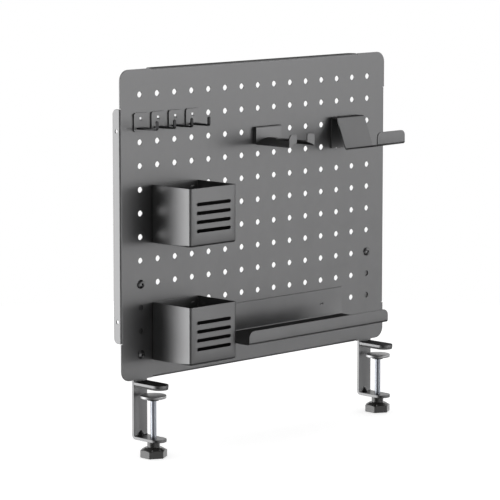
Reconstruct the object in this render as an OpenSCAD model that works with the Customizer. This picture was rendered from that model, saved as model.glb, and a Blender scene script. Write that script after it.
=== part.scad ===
// Clamp-on desk pegboard: a folded steel panel on two screw clamps, with lift-off accessories.
// +Z is up and the front faces -Y. The origin is on the desk top, midway between the clamps, and
// Y = 0 is the panel's front face. All sizes are in millimetres.

/* [Peg grid] */
// Distance between neighbouring peg holes
pitch = 25.4; // [24.6:0.1:26.4]
// Number of peg holes across
cols = 15; // [15:1:17]
// Number of peg holes up
rows = 12; // [12:1:13]
// Diameter of a peg hole
hole_d = 6.35; // [6.2:0.05:6.8]

/* [Panel] */
// Sheet beyond the outer columns of holes
side_margin = 28.7; // [26:0.1:32]
// Sheet beyond the top and bottom rows of holes
end_margin = 27; // [24:0.1:31]
// Thickness of the panel's sheet
sheet_t = 1.2; // [1:0.1:1.6]
// Radius of the panel's front corners
corner_r = 12; // [6:0.5:20]
// Depth of the return flanges, from the front face
flange_depth = 11.5; // [9:0.5:15]
// Inner radius of the panel's bends
panel_bend_r = 0.8; // [0.4:0.1:1.6]
// Flat corner stretch beyond a side flange's end
side_flange_end = 41.2; // [36:0.1:50]
// Flat corner stretch beyond a top or bottom flange's end
top_flange_end = 45.9; // [42:0.1:60]
// Radius of a flange's free corners
flange_corner_r = 6; // [3:0.5:8]
// Diameter of the wall holes in the side flanges
flange_hole_d = 4; // [3:0.1:5]
// Distance from a side flange's end to its hole
flange_hole_inset = 23.5; // [12:0.5:40]

/* [Clamp frame] */
// Width of the bracket strip and the jaws
strip_w = 19.8; // [18:0.1:24]
// Thickness of the bracket strip and the upper jaw
strip_t = 3.2; // [2.5:0.1:4]
// Row of the upper bracket screw, counted from the top
upper_screw_row = 9; // [8:1:10]
// Strip above the upper bracket screw
strip_over = 10; // [10:0.5:14]
// Inner radius of the bend into the lower jaw
strip_bend_r = 1.5; // [1:0.1:3]
// Reach of the upper jaw in front of the panel face
upper_reach = 38.2; // [34:0.1:45]
// Reach of the lower jaw in front of the panel face
lower_reach = 35.1; // [32:0.1:45]
// Clear height between the upper pad and the lower jaw
throat_h = 54; // [46:0.5:80]
// Gap between the upper jaw and the panel's lower edge
jaw_gap = 2.1; // [1.5:0.1:6]
// Thickness of the soft pad under the upper jaw
jaw_pad_t = 2; // [1:0.1:4]
// Edge of the jaw left bare around the soft pad
jaw_pad_inset = 0.3; // [0.1:0.1:1.5]
// Leg of the small gusset in the lower bend
gusset_leg = 5.5; // [4:0.1:6.5]
// Width of the small gusset
gusset_w = 2.6; // [2:0.1:6]

/* [Clamp screw] */
// Distance of the screw axis in front of the panel face
screw_y = 19; // [18:0.1:21]
// Diameter of the clamp screw
spindle_d = 6.35; // [6:0.05:8]
// Diameter of the pressure pad
press_d = 28; // [24:0.5:32]
// Thickness of the pressure pad
press_t = 3.1; // [2.8:0.1:4]
// Gap between the two pads with the screw wound fully in
press_gap = 7.4; // [3:0.1:12]
// Diameter of the swivel hub under the pressure pad
hub_d = 12.3; // [11:0.1:15]
// Thickness of the hub's visible rim
hub_h = 2; // [1.8:0.1:3]
// Diameter of the knob's neck
neck_d = 13.6; // [11:0.1:17]
// Height of the knob's neck
neck_h = 6.6; // [4:0.1:12]
// Knob size across its corners
knob_d = 30; // [26:0.5:34]
// Height of the knob
knob_h = 10.7; // [8:0.1:16]
// Diameter of the flat in the middle of the knob's sloping top
knob_top_d = 18.5; // [17:0.5:24]
// Chamfer on the knob's lower rim
knob_chamfer = 0.9; // [0.4:0.1:1.5]

/* [Fasteners] */
// Thread diameter of the bracket screws
bolt_d = 5; // [4:0.5:5]
// Length of the bracket screws under the head
bolt_len = 10; // [10:0.5:11]
// Diameter of the button head
bolt_head_d = 9.5; // [8.5:0.1:11]
// Height of the button head
bolt_head_h = 2.75; // [2.2:0.05:3.5]
// Hex socket size across flats
bolt_socket = 3; // [2.5:0.5:4]
// Outer diameter of the washers
washer_d = 10; // [9:0.5:13]
// Thickness of the washers
washer_t = 1; // [0.8:0.1:1.2]
// Nut size across flats
nut_flats = 8; // [7:0.5:9]
// Height of the nuts
nut_h = 4; // [3:0.1:4.2]

/* [Accessory tongues] */
// Width of a tongue that enters a peg hole
tongue_w = 3; // [2.4:0.1:3.6]
// How far a tongue's tip hangs down behind the panel
tongue_drop = 2.4; // [1.6:0.1:2.6]
// Width of the window that a tongue is cut from
window_w = 4.8; // [4:0.1:5.5]
// Top of that window above the peg hole's axis
window_top = 1.4; // [0.8:0.1:3]
// Thickness of the plates of the hooks, the saddle and the device rest
plate_t = 1.5; // [1.2:0.1:2]

/* [Hooks] */
// Row of the hooks
hook_row = 2; // [2:1:3]
// Width of a hook's back plate
hook_plate_w = 19.8; // [16:0.1:22]
// Back plate above the peg hole's axis
hook_plate_up = 6.2; // [5:0.1:8]
// Back plate below the peg hole's axis
hook_plate_down = 13.8; // [12:0.1:20]
// Corner radius of the back plate
hook_corner_r = 2.5; // [1:0.5:4]
// Drop of the arm's top face below the peg hole's axis
hook_arm_drop = 9.6; // [7:0.1:11]
// Thickness of the arm
hook_arm_t = 1.8; // [1.5:0.1:2.5]
// Width of the arm where it leaves the plate
hook_root_w = 12; // [8:0.5:14]
// Width of the arm's upturned tip
hook_tip_w = 3.2; // [3:0.1:6]
// Reach of the arm in front of the panel face
hook_reach = 27.6; // [20:0.1:36]
// Height of the upturned tip over the arm's top face
hook_tip_h = 8.4; // [6:0.1:14]

/* [Headphone saddle] */
// Row of the saddle's tongues
saddle_row = 3; // [3:1:4]
// Left column of the saddle's two tongues
saddle_col = 8; // [8:1:9]
// Width of the saddle
saddle_w = 40; // [38:0.5:44]
// Bracket above the peg holes' axis
saddle_up = 5; // [5:0.1:8]
// Bracket below the peg holes' axis
saddle_down = 14.2; // [14:0.1:18]
// Depth of the folded bracket in front of the panel
saddle_fold = 4.4; // [4.2:0.1:6]
// Top of the saddle's crest below the peg holes' axis
saddle_crest_drop = 7.6; // [7:0.1:9]
// Radius of the saddle's curved top
saddle_r = 40; // [38:1:60]
// Reach of the saddle in front of the panel face
saddle_reach = 55.5; // [44:0.5:70]
// Width of the slot between the two prongs
saddle_slot_w = 16.5; // [12:0.5:20]
// Start of the slot in front of the panel face
saddle_slot_start = 18.5; // [14:0.5:26]
// Top of the upturned tabs below the peg holes' axis
saddle_tab_drop = 0.8; // [0:0.1:3]
// Radius of the tabs' outer corners
saddle_tab_r = 4.5; // [2:0.5:5]

/* [Device rest] */
// Row of the rest's tongues
rest_row = 3; // [3:1:4]
// Left column of the rest's two tongues
rest_col = 13; // [13]
// Width of the rest
rest_w = 45.5; // [40:0.5:48]
// Top of the rest above the peg holes' axis
rest_up = 7.6; // [6:0.1:10]
// Rear leaf below the peg holes' axis
rest_down = 27.9; // [20:0.1:30]
// Depth of the flat top in front of the panel
rest_top_depth = 10; // [8:0.5:14]
// Depth of the leaning plate's foot in front of the panel
rest_foot_depth = 24; // [20:0.5:30]
// Foot of the leaning plate below the peg holes' axis
rest_foot_drop = 28.2; // [26:0.1:32]
// Depth of the rest's front edge in front of the panel
rest_reach = 72.3; // [60:0.1:80]
// Rise of the shelf from its rear to its front
rest_rise = 8; // [4:0.1:12]
// Height of the front lip
rest_lip_h = 15.2; // [10:0.1:20]
// Corner radius of the front lip
rest_lip_r = 6; // [2:0.5:7]

/* [Cups] */
// Row of the upper cup's tongues
upper_cup_row = 5; // [5]
// Row of the lower cup's tongues
lower_cup_row = 10; // [10]
// Middle column of the cups
cup_col = 3; // [3]
// Outer width of a cup
cup_w = 68.4; // [66:0.1:71]
// Outer depth of a cup
cup_depth = 60; // [45:0.5:80]
// Outer height of a cup
cup_h = 62.4; // [56:0.1:75]
// Wall thickness of a cup
cup_t = 1.2; // [1:0.1:1.6]
// Outer radius of a cup's upright edges
cup_edge_r = 1.7; // [1.7:0.1:3]
// Cup rim above the peg holes' axis
cup_up = 4.1; // [3.9:0.1:6]
// Number of slots in a cup's front
slot_n = 4; // [2:1:4]
// Length of a slot
slot_len = 50.5; // [30:0.5:54]
// Height of a slot
slot_h = 3.7; // [3:0.1:5]
// Distance between neighbouring slots
slot_pitch = 9.5; // [7:0.05:10]
// First slot's axis below the cup's rim
slot_first = 17.2; // [12:0.1:22]

/* [Tray] */
// Row of the tray's tongues
tray_row = 11; // [11]
// Middle column of the tray
tray_col = 9; // [9]
// Shift of the tray's middle off its middle column
tray_shift = -1; // [-3:0.1:3]
// Columns from the middle to each tongue
tray_tongue_cols = 3; // [2:1:3]
// Length of the tray
tray_len = 221.8; // [200:0.5:224]
// Depth of the tray in front of the panel
tray_depth = 73; // [50:0.5:80]
// Rear wall above the peg holes' axis
tray_up = 14.3; // [6:0.1:16]
// Tray underside below the peg holes' axis
tray_down = 18.2; // [12:0.1:22]
// Thickness of the tray's sheet
tray_t = 1.5; // [1:0.1:2]
// Inner radius of the tray's bends
tray_bend_r = 1.2; // [0.5:0.1:3]
// Height of the tray's front lip
tray_lip_h = 15; // [8:0.5:25]
// Radius of the lip's upper corners
tray_lip_r = 7; // [2:0.5:7.5]

/* [Hidden] */
$fn = 64;

// Powder coat, and the colours of the other materials
coat = [0.19, 0.19, 0.2];
bright_steel = [0.72, 0.73, 0.76];
black_steel = [0.08, 0.08, 0.085];
black_plastic = [0.05, 0.05, 0.052];
grey_rubber = [0.2, 0.2, 0.2];

// Overshoot of a cut past the face that it goes through
cut = 1;
// How far each face of the sheet draws in at a slanted bend
bend_thinning = 0.002;
// Room between an accessory's back and the panel's front
seat_gap = 0.05;
// Room between a tongue's tip and the panel's rear face
tip_gap = 0.15;
// Room left where one piece stands on another that it moves against
rest_gap = 0.02;
// Radial room of the clamp screw in its threaded hole and of the screw's tip in the hub
screw_room = 0.05;
// Room along the screw between its tip and the hub
end_room = 0.15;
// Gap under the pressure pad over the hub's rim, for its tilt
rim_gap = 0.5;
// Room over the hub's dome inside the pressure pad, for its tilt
tilt_room = 0.55;
// Dome's flat top below the middle of the swivel
dome_drop = 0.35;
// Hub's wall over the screw's tip
skin_t = 0.5;
// Depth of the screw's shoulder inside the hub
shoulder_h = 0.75;
// Hub's lip between the screw's shoulder and its tip
lip_t = 0.9;
// Depth of the groove round the screw's tip
groove = 0.85;
// Radial room of the hub's dome in the pressure pad
swivel_room = 0.05;
// Room all round a bracket screw in the strip and the washer
bolt_room = 0.25;

// Panel
hole_r = hole_d / 2;
panel_w = (cols - 1) * pitch + 2 * side_margin;
panel_h = (rows - 1) * pitch + 2 * end_margin;
panel_bottom = jaw_pad_t + strip_t + jaw_gap;
side_flange_h = panel_h - 2 * side_flange_end;
top_flange_w = panel_w - 2 * top_flange_end;
bend_band = panel_bend_r + sheet_t;
flange_hole_y = flange_depth / 2;

// Places of the peg holes: columns count from the left, rows from the top
function col_x(c) = (c - (cols + 1) / 2) * pitch;
function row_z(r) = panel_bottom + end_margin + (rows - r) * pitch;

// Clamps
left_x = col_x(1);
right_x = col_x(cols);
strip_front = sheet_t;
strip_back = strip_front + strip_t;
strip_top = row_z(upper_screw_row) + strip_over;
lower_jaw_top = -throat_h;
lower_jaw_bottom = lower_jaw_top - strip_t;
spindle_r = spindle_d / 2;
press_top = -press_gap;
press_bottom = press_top - press_t;
swivel_r = 5;
swivel_z = (press_top + press_bottom) / 2;
hub_bottom = press_bottom - rim_gap - hub_h;
dome_top = swivel_z - dome_drop;
spindle_top = dome_top - skin_t - end_room;
shoulder_z = hub_bottom + shoulder_h;
groove_r = spindle_r - groove;
neck_gap = 0.2;
neck_top = lower_jaw_bottom - neck_gap;
knob_bottom = neck_top - neck_h - knob_h;
knob_slope = (knob_d - knob_top_d) / 2 * tan(30);

// Bracket screws
bolt_rows = [upper_screw_row, rows];
washer_front = strip_back;
nut_front = strip_back + washer_t;
bolt_socket_depth = bolt_head_h * 0.6;

// Accessories
tongue_bend_r = 0.4;
bend_drop = sqrt(pow(tongue_bend_r, 2) - pow(tongue_bend_r - seat_gap, 2));
tongue_rest = sqrt(hole_r * hole_r - tongue_w * tongue_w / 4) - tongue_bend_r + bend_drop - rest_gap;
window_sill = -tongue_rest - tongue_bend_r;
saddle_x = (col_x(saddle_col) + col_x(saddle_col + 1)) / 2;
rest_x = (col_x(rest_col) + col_x(rest_col + 1)) / 2;
thin_bend_r = 1;
fold_flat = 0.1;

// The angle of a vector, and the turn from one angle to another
function heading(v) = atan2(v[1], v[0]);
function turn(a, b) = (b - a + 540) % 360 - 180;

// Rectangle with its lower edge on y = 0 and centred on x = 0, with its two upper corners rounded
module tab2d(w, h, r) {
    translate([-w / 2, 0]) square([w, h - r]);
    if (w > 2 * r) translate([-w / 2 + r, 0]) square([w - 2 * r, h]);
    for (s = [-1, 1]) translate([s * (w / 2 - r), h - r]) circle(r);
}

// Rectangle centred on the origin with all four corners rounded
module plate2d(w, h, r) {
    square([w - 2 * r, h], center = true);
    square([w, h - 2 * r], center = true);
    for (sx = [-1, 1], sy = [-1, 1]) translate([sx * (w / 2 - r), sy * (h / 2 - r)]) circle(r);
}

// Section of folded sheet: a strip of thickness t along a line of points, bent with inner radius r
module folded2d(pts, t, r) {
    translate(pts[0]) rotate(heading(pts[1] - pts[0])) folded_run(pts, 0, 0, t, r);
}

// Straight run number i in its own frame, where the bend before it took the first length used,
// and then, in turned frames, the bend after it and the rest, so that all meet exactly
module folded_run(pts, i, used, t, r) {
    step = pts[i + 1] - pts[i];
    if (i == len(pts) - 2) {
        translate([0, -t / 2]) square([norm(step) - used, t]);
    } else {
        bend = turn(heading(step), heading(pts[i + 2] - pts[i + 1]));
        mid_r = r + t / 2;
        trim = mid_r * tan(abs(bend) / 2);
        run = norm(step) - used - trim;
        translate([0, -t / 2]) square([run, t]);
        translate([run, sign(bend) * mid_r]) {
            thin = abs(abs(bend) - 90) < 0.001 ? 0 : bend_thinning;
            ring_wedge(r + thin, r + t - thin, bend);
            rotate(bend) translate([0, -sign(bend) * mid_r]) folded_run(pts, i + 1, trim, t, r);
        }
    }
}

// What a bend of less than 180 degrees takes of a ring about the origin: from x = 0 on, round to
// the same line turned by the bend
module ring_wedge(r_in, r_out, bend) {
    far = 2 * r_out;
    intersection() {
        difference() {
            circle(r_out);
            if (r_in > 0) circle(r_in);
        }
        translate([0, -far]) square([far, 2 * far]);
        rotate(bend) translate([-far, -far]) square([far, 2 * far]);
    }
}

// Stands an outline up in the X-Z plane: its local y becomes Z, and it is t thick towards -Y
module upright(t) { rotate([90, 0, 0]) linear_extrude(t) children(); }

// Carries a section in the Y-Z plane along X, centred on X = 0
module along_x(len) { translate([-len / 2, 0, 0]) rotate([90, 0, 90]) linear_extrude(len) children(); }

// A row of bores along Y at the given columns and rows
module peg_bores(y0, y1, r, cs, rs) {
    for (c = cs, k = rs)
        translate([col_x(c), y0, row_z(k)]) rotate([-90, 0, 0]) cylinder(r = r, h = y1 - y0);
}

// One return flange with its bend, its length along X and its fold line at z = 0, depth towards +Y
module return_flange(len) {
    intersection() {
        along_x(len) folded2d([[sheet_t / 2, -bend_band - cut], [sheet_t / 2, -sheet_t / 2],
                               [flange_depth, -sheet_t / 2]], sheet_t, panel_bend_r);
        translate([0, 0, cut]) rotate([0, 180, 0])
            linear_extrude(bend_band + 3 * cut) tab2d(len, flange_depth, flange_corner_r);
    }
}

module panel() {
    mid_z = panel_bottom + panel_h / 2;
    color(coat) difference() {
        union() {
            translate([0, sheet_t, mid_z]) upright(sheet_t) difference() {
                plate2d(panel_w, panel_h, corner_r);
                for (s = [-1, 1]) {
                    translate([s * panel_w / 2, 0]) square([2 * bend_band, side_flange_h], center = true);
                    translate([0, s * panel_h / 2]) square([top_flange_w, 2 * bend_band], center = true);
                }
            }
            for (a = [0, 180]) {
                translate([0, 0, mid_z]) rotate([0, a, 0])
                    translate([0, 0, panel_h / 2]) return_flange(top_flange_w);
                translate([0, 0, mid_z]) rotate([0, a + 90, 0])
                    translate([0, 0, panel_w / 2]) return_flange(side_flange_h);
            }
        }
        peg_bores(-cut, sheet_t + cut, hole_r, [1:cols], [1:rows]);
        for (s = [-1, 1], k = [-1, 1])
            translate([s * panel_w / 2, flange_hole_y, mid_z + k * (side_flange_h / 2 - flange_hole_inset)])
                rotate([0, 90, 0]) cylinder(d = flange_hole_d, h = 4 * sheet_t, center = true);
    }
}

// Outline of a jaw seen from above: its rear edge at y = rear, its round tip reaching to -reach
module jaw2d(rear, reach, w) {
    translate([0, rear]) rotate(180) tab2d(w, rear + reach, w / 2);
}

module clamp_bracket(x) {
    strip_mid = (strip_front + strip_back) / 2;
    jaw_mid = (lower_jaw_top + lower_jaw_bottom) / 2;
    elbow = 3 * strip_t;
    color(coat) translate([x, 0, 0]) difference() {
        union() {
            translate([0, strip_back, jaw_mid + elbow]) upright(strip_t)
                tab2d(strip_w, strip_top - jaw_mid - elbow, strip_w / 2);
            along_x(strip_w) folded2d([[strip_mid, jaw_mid + elbow], [strip_mid, jaw_mid],
                                       [strip_mid - elbow, jaw_mid]], strip_t, strip_bend_r);
            translate([0, 0, lower_jaw_bottom]) linear_extrude(strip_t)
                jaw2d(strip_mid - elbow, lower_reach, strip_w);
            along_x(gusset_w) polygon([[strip_front + cut, lower_jaw_top - cut],
                                       [strip_front - gusset_leg, lower_jaw_top - cut],
                                       [strip_front - gusset_leg, lower_jaw_top],
                                       [strip_front, lower_jaw_top + gusset_leg],
                                       [strip_front + cut, lower_jaw_top + gusset_leg]]);
        }
        translate([0, -screw_y, lower_jaw_bottom - cut])
            cylinder(r = spindle_r + screw_room, h = strip_t + 2 * cut);
        for (k = bolt_rows)
            translate([0, strip_front - cut, row_z(k)]) rotate([-90, 0, 0])
                cylinder(d = bolt_d + 2 * bolt_room, h = strip_t + 2 * cut);
    }
}

module upper_jaw(x) {
    color(coat) translate([x, 0, jaw_pad_t]) linear_extrude(strip_t)
        jaw2d(strip_front, upper_reach, strip_w);
}

module jaw_pad(x) {
    color(grey_rubber) translate([x, 0, 0]) linear_extrude(jaw_pad_t)
        jaw2d(strip_front - jaw_pad_inset, upper_reach - jaw_pad_inset, strip_w - 2 * jaw_pad_inset);
}

module spindle(x) {
    color(bright_steel) translate([x, -screw_y, 0]) {
        translate([0, 0, knob_bottom + knob_chamfer])
            cylinder(r = spindle_r, h = shoulder_z - knob_bottom - knob_chamfer);
        translate([0, 0, shoulder_z - cut])
            cylinder(r = groove_r, h = spindle_top - shoulder_z + cut / 2);
        translate([0, 0, shoulder_z + lip_t + end_room])
            cylinder(r = spindle_r, h = spindle_top - shoulder_z - lip_t - end_room);
    }
}

module knob(x) {
    r = knob_d / 2;
    color(black_plastic) translate([x, -screw_y, knob_bottom]) difference() {
        union() {
            intersection() {
                rotate(30) cylinder(r = r, h = knob_h, $fn = 6);
                rotate_extrude() polygon([[0, 0], [r - knob_chamfer, 0], [r, knob_chamfer],
                                          [r, knob_h - knob_slope], [knob_top_d / 2, knob_h], [0, knob_h]]);
            }
            translate([0, 0, knob_h - cut]) cylinder(d = neck_d, h = neck_h + cut);
        }
        translate([0, 0, knob_chamfer]) cylinder(r = spindle_r, h = knob_h + neck_h);
    }
}

module swivel_hub(x) {
    bore_r = spindle_r + screw_room;
    color(black_steel) translate([x, -screw_y, 0]) difference() {
        union() {
            translate([0, 0, hub_bottom]) cylinder(d = hub_d, h = hub_h);
            intersection() {
                translate([0, 0, swivel_z]) sphere(r = swivel_r - swivel_room);
                translate([0, 0, hub_bottom + hub_h / 2])
                    cylinder(r = swivel_r, h = dome_top - hub_bottom - hub_h / 2);
            }
        }
        translate([0, 0, hub_bottom - cut]) cylinder(r = bore_r, h = shoulder_h + rest_gap + cut);
        translate([0, 0, hub_bottom]) cylinder(r = groove_r + screw_room, h = hub_h + rim_gap);
        translate([0, 0, shoulder_z + lip_t])
            cylinder(r = bore_r, h = spindle_top + end_room - shoulder_z - lip_t);
    }
}

module pressure_pad(x) {
    color(coat) translate([x, -screw_y, 0]) difference() {
        translate([0, 0, press_bottom]) cylinder(d = press_d, h = press_t);
        intersection() {
            translate([0, 0, swivel_z]) sphere(r = swivel_r);
            translate([0, 0, press_bottom - cut])
                cylinder(r = press_d / 3, h = dome_top + tilt_room - press_bottom + cut);
        }
    }
}

// Copies a fastener to the four places where the brackets are screwed on
module at_bolts() {
    for (x = [left_x, right_x], k = bolt_rows) translate([x, 0, row_z(k)]) children();
}

// A button head: the cap of a sphere over a short rim, its flat side on y = 0, facing -Y
module button_head() {
    rim = bolt_head_h * 0.25;
    rise = bolt_head_h - rim;
    r = bolt_head_d / 2;
    ball = (r * r + rise * rise) / (2 * rise);
    difference() {
        intersection() {
            translate([0, ball - bolt_head_h, 0]) sphere(r = ball);
            rotate([90, 0, 0]) cylinder(r = r, h = bolt_head_h);
        }
        translate([0, -bolt_head_h + bolt_socket_depth, 0]) rotate([90, 0, 0])
            cylinder(d = bolt_socket / cos(30), h = bolt_head_h, $fn = 6);
    }
}

module bracket_screws() {
    color(black_steel) at_bolts() {
        button_head();
        translate([0, -bolt_head_h / 4, 0]) rotate([-90, 0, 0])
            cylinder(d = bolt_d, h = bolt_len + bolt_head_h / 4);
    }
}

module bracket_washers() {
    color(bright_steel) at_bolts() translate([0, washer_front, 0]) rotate([-90, 0, 0]) difference() {
        cylinder(d = washer_d, h = washer_t);
        translate([0, 0, -cut]) cylinder(d = bolt_d + 2 * bolt_room, h = washer_t + 2 * cut);
    }
}

module bracket_nuts() {
    color(bright_steel) at_bolts() translate([0, nut_front, 0]) rotate([-90, 0, 0]) difference() {
        cylinder(d = nut_flats / cos(30), h = nut_h, $fn = 6);
        translate([0, 0, -cut]) cylinder(d = bolt_d, h = nut_h + 2 * cut);
    }
}

// A tongue of a plate of thickness t, about its peg hole's axis: bent out through the hole and down
module tongue(t) {
    rear_y = -seat_gap - t / 2;
    tip_y = sheet_t + tip_gap + t / 2;
    mid_z = -tongue_rest + t / 2;
    along_x(tongue_w) folded2d([[rear_y, window_sill - cut], [rear_y, mid_z], [tip_y, mid_z],
                                [tip_y, -tongue_rest - tongue_drop]], t, tongue_bend_r);
}

// The window that a tongue is cut from, through a plate of thickness t
module tongue_window(t) {
    translate([-window_w / 2, -seat_gap - t - cut, window_sill])
        cube([window_w, t + 2 * cut, window_top - window_sill]);
}

// Cuts the windows at some peg holes into a plate of thickness t and adds the tongues
module with_tongues(t, cs, row) {
    difference() {
        children();
        for (c = cs) translate([col_x(c), 0, row_z(row)]) tongue_window(t);
    }
    for (c = cs) translate([col_x(c), 0, row_z(row)]) tongue(t);
}

module hook_plate(n) {
    h = hook_plate_up + hook_plate_down;
    mid = (hook_plate_up - hook_plate_down) / 2;
    color(coat) with_tongues(plate_t, [n], hook_row)
        translate([col_x(n), -seat_gap, row_z(hook_row) + mid])
            upright(plate_t) plate2d(hook_plate_w, h, hook_corner_r);
}

module hook_arm(n) {
    root_y = -seat_gap - plate_t;
    mid_z = -hook_arm_drop - hook_arm_t / 2;
    tip_mid = -hook_reach + hook_arm_t / 2;
    taper_y = -hook_reach + 3 * hook_arm_t;
    color(coat) translate([col_x(n), 0, row_z(hook_row)]) intersection() {
        along_x(hook_root_w) folded2d([[root_y, mid_z], [tip_mid, mid_z],
                                       [tip_mid, hook_tip_h - hook_arm_drop]], hook_arm_t, thin_bend_r);
        translate([0, 0, mid_z - hook_arm_t]) linear_extrude(hook_tip_h + 3 * hook_arm_t)
            polygon([[-hook_root_w / 2, root_y], [hook_root_w / 2, root_y], [hook_tip_w / 2, taper_y],
                     [hook_tip_w / 2, -hook_reach - cut], [-hook_tip_w / 2, -hook_reach - cut],
                     [-hook_tip_w / 2, taper_y]]);
        translate([0, cut, mid_z - hook_arm_t / 2 - cut])
            upright(hook_reach + 2 * cut) hook_side2d();
    }
}

// Front view limit of a hook arm: full width at the arm, a round top at the tip
module hook_side2d() {
    h = hook_arm_t + hook_tip_h + cut;
    r = hook_tip_w / 2;
    translate([-hook_root_w / 2, 0]) square([hook_root_w, cut + hook_arm_t + r]);
    tab2d(hook_tip_w, h, r);
}

module saddle_bracket() {
    z0 = row_z(saddle_row);
    rear_y = -seat_gap - plate_t / 2;
    front_y = -saddle_fold + plate_t / 2;
    top = saddle_up - plate_t / 2;
    fold_r = (rear_y - front_y - plate_t - fold_flat) / 2;
    color(coat) with_tongues(plate_t, [saddle_col, saddle_col + 1], saddle_row)
        translate([saddle_x, 0, z0]) along_x(saddle_w)
            folded2d([[rear_y, -saddle_down], [rear_y, top], [front_y, top], [front_y, -saddle_down]],
                     plate_t, fold_r);
}

module saddle_arm() {
    z0 = row_z(saddle_row);
    crest = -saddle_crest_drop;
    centre_z = crest - saddle_r;
    prong_w = (saddle_w - saddle_slot_w) / 2;
    tab_top = -saddle_tab_drop;
    run = saddle_reach - saddle_fold;
    slot_r = saddle_slot_w / 2;
    color(coat) translate([saddle_x, 0, z0]) difference() {
        union() {
            translate([0, -saddle_fold, 0]) upright(run) saddle_section(crest, centre_z);
            for (s = [-1, 1])
                translate([0, -saddle_reach + plate_t, 0]) upright(plate_t) difference() {
                    scale([s, 1]) saddle_tab2d(prong_w, slot_r, centre_z, tab_top);
                    translate([0, centre_z]) circle(saddle_r - plate_t);
                }
        }
        translate([0, 0, centre_z]) linear_extrude(saddle_r + cut) {
            translate([0, -saddle_slot_start - slot_r]) circle(slot_r);
            translate([-slot_r, -saddle_reach - cut])
                square([saddle_slot_w, saddle_reach - saddle_slot_start - slot_r + cut]);
        }
    }
}

// Curved section of the saddle, centred on x = 0
module saddle_section(crest, centre_z) {
    intersection() {
        translate([0, centre_z]) difference() {
            circle(saddle_r);
            circle(saddle_r - plate_t);
        }
        translate([-saddle_w / 2, crest - saddle_r / 2]) square([saddle_w, saddle_r]);
    }
}

// The upturned tab on the right prong, from below the saddle up to its top
module saddle_tab2d(w, inner_x, centre_z, top) {
    outer_x = inner_x + w;
    foot = centre_z + sqrt(pow(saddle_r - plate_t, 2) - outer_x * outer_x);
    inner_r = saddle_tab_r / 3;
    translate([inner_x, foot]) square([w, top - foot - saddle_tab_r]);
    translate([inner_x + inner_r, foot]) square([w - inner_r - saddle_tab_r, top - foot]);
    translate([inner_x, foot]) square([w / 2, top - foot - inner_r]);
    translate([inner_x + inner_r, top - inner_r]) circle(inner_r);
    translate([outer_x - saddle_tab_r, top - saddle_tab_r]) circle(saddle_tab_r);
}

module device_rest() {
    z0 = row_z(rest_row);
    h = plate_t / 2;
    rear_y = -seat_gap - h;
    top = rest_up - h;
    shelf_front = -rest_foot_drop + rest_rise + h;
    lip_y = -rest_reach + h;
    lip_top = shelf_front - h + rest_lip_h;
    color(coat) with_tongues(plate_t, [rest_col, rest_col + 1], rest_row) translate([rest_x, 0, z0])
        difference() {
            along_x(rest_w)
                folded2d([[rear_y, -rest_down], [rear_y, top], [-rest_top_depth + h, top],
                          [-rest_foot_depth + h, -rest_foot_drop + h], [lip_y, shelf_front],
                          [lip_y, lip_top]], plate_t, thin_bend_r);
            translate([0, -rest_reach + 2 * plate_t, lip_top - rest_lip_r]) upright(4 * plate_t)
                corner_cuts2d(rest_w, rest_lip_r);
        }
}

// What rounding the two upper corners of a plate of width w takes away
module corner_cuts2d(w, r) {
    difference() {
        for (s = [-1, 1])
            translate([s * (w + cut) / 2, (r + cut) / 2]) square([2 * r + cut, r + cut], center = true);
        for (s = [-1, 1]) translate([s * (w / 2 - r), 0]) circle(r);
        translate([-w / 2 + r, -cut]) square([w - 2 * r, r + 3 * cut]);
    }
}

module cup(row) {
    rim = row_z(row) + cup_up;
    inner_r = cup_edge_r - cup_t;
    back_y = -seat_gap;
    mid_y = back_y - cup_depth / 2;
    slot_r = slot_h / 2;
    color(coat) with_tongues(cup_t, [cup_col - 1, cup_col + 1], row)
        translate([col_x(cup_col), 0, rim - cup_h]) difference() {
            translate([0, mid_y, 0]) linear_extrude(cup_h) plate2d(cup_w, cup_depth, cup_edge_r);
            translate([0, mid_y, cup_t]) linear_extrude(cup_h)
                plate2d(cup_w - 2 * cup_t, cup_depth - 2 * cup_t, inner_r);
            for (k = [0:slot_n - 1])
                translate([0, back_y - cup_depth + 2 * cup_t, cup_h - slot_first - k * slot_pitch])
                    upright(3 * cup_t) {
                        square([slot_len - slot_h, slot_h], center = true);
                        for (s = [-1, 1]) translate([s * (slot_len / 2 - slot_r), 0]) circle(slot_r);
                    }
        }
}

module tray() {
    z0 = row_z(tray_row);
    h = tray_t / 2;
    rear_y = -seat_gap - h;
    floor_z = -tray_down + h;
    lip_y = -tray_depth + h;
    lip_top = -tray_down + tray_lip_h;
    color(coat) with_tongues(tray_t, [tray_col - tray_tongue_cols, tray_col + tray_tongue_cols], tray_row)
        translate([col_x(tray_col) + tray_shift, 0, z0]) difference() {
            along_x(tray_len)
                folded2d([[rear_y, tray_up], [rear_y, floor_z], [lip_y, floor_z], [lip_y, lip_top]],
                         tray_t, tray_bend_r);
            translate([0, -tray_depth + 2 * tray_t, lip_top - tray_lip_r]) upright(3 * tray_t)
                corner_cuts2d(tray_len, tray_lip_r);
        }
}

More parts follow.
